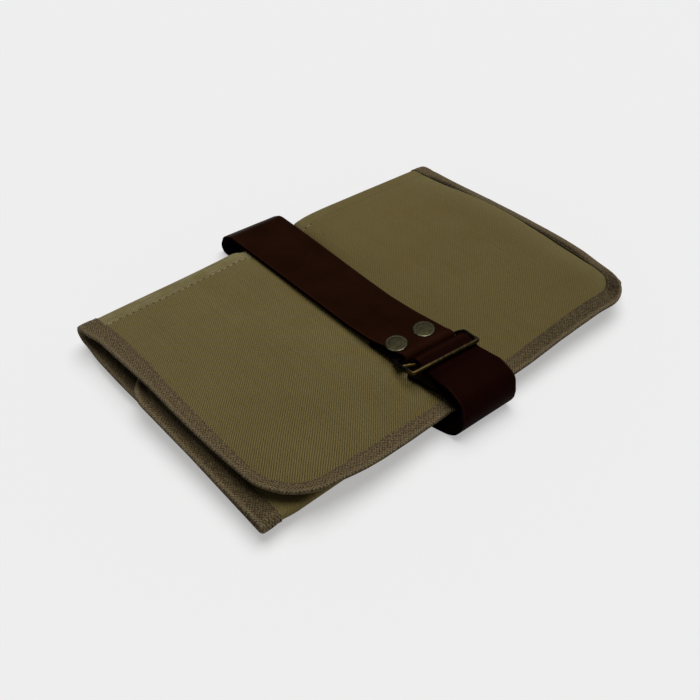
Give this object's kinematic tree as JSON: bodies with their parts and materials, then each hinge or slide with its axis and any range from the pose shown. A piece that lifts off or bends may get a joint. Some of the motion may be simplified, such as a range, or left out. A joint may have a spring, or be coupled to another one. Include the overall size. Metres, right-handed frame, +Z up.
{
  "type": "notebook roll",
  "caption": "Flat canvas notebook roll, folded over itself, with tape-bound edges, held shut by a leather strap cinched through nested wire rings.",
  "frame": {"origin": "on the surface it lies on, under the middle of its bounding box", "axes": "+X along the roll, across the strap; +Y from the front fold towards the back fold; +Z up"},
  "size_m": [0.257, 0.1976, 0.0207],
  "materials": {
    "canvas": "olive waxed canvas, matte",
    "tape": "herringbone tape, matte",
    "leather": "dark brown leather, soft sheen, burnished edges",
    "brass": "antique brass wire",
    "nickel": "dull antique nickel"
  },
  "bodies": {
    "root": {"canvas_body": "canvas", "edge_binding": "tape", "strap": "leather", "ring_inner": "brass", "ring_outer": "brass", "rivet_near": "nickel", "rivet_far": "nickel"}
  },
  "joints": []
}
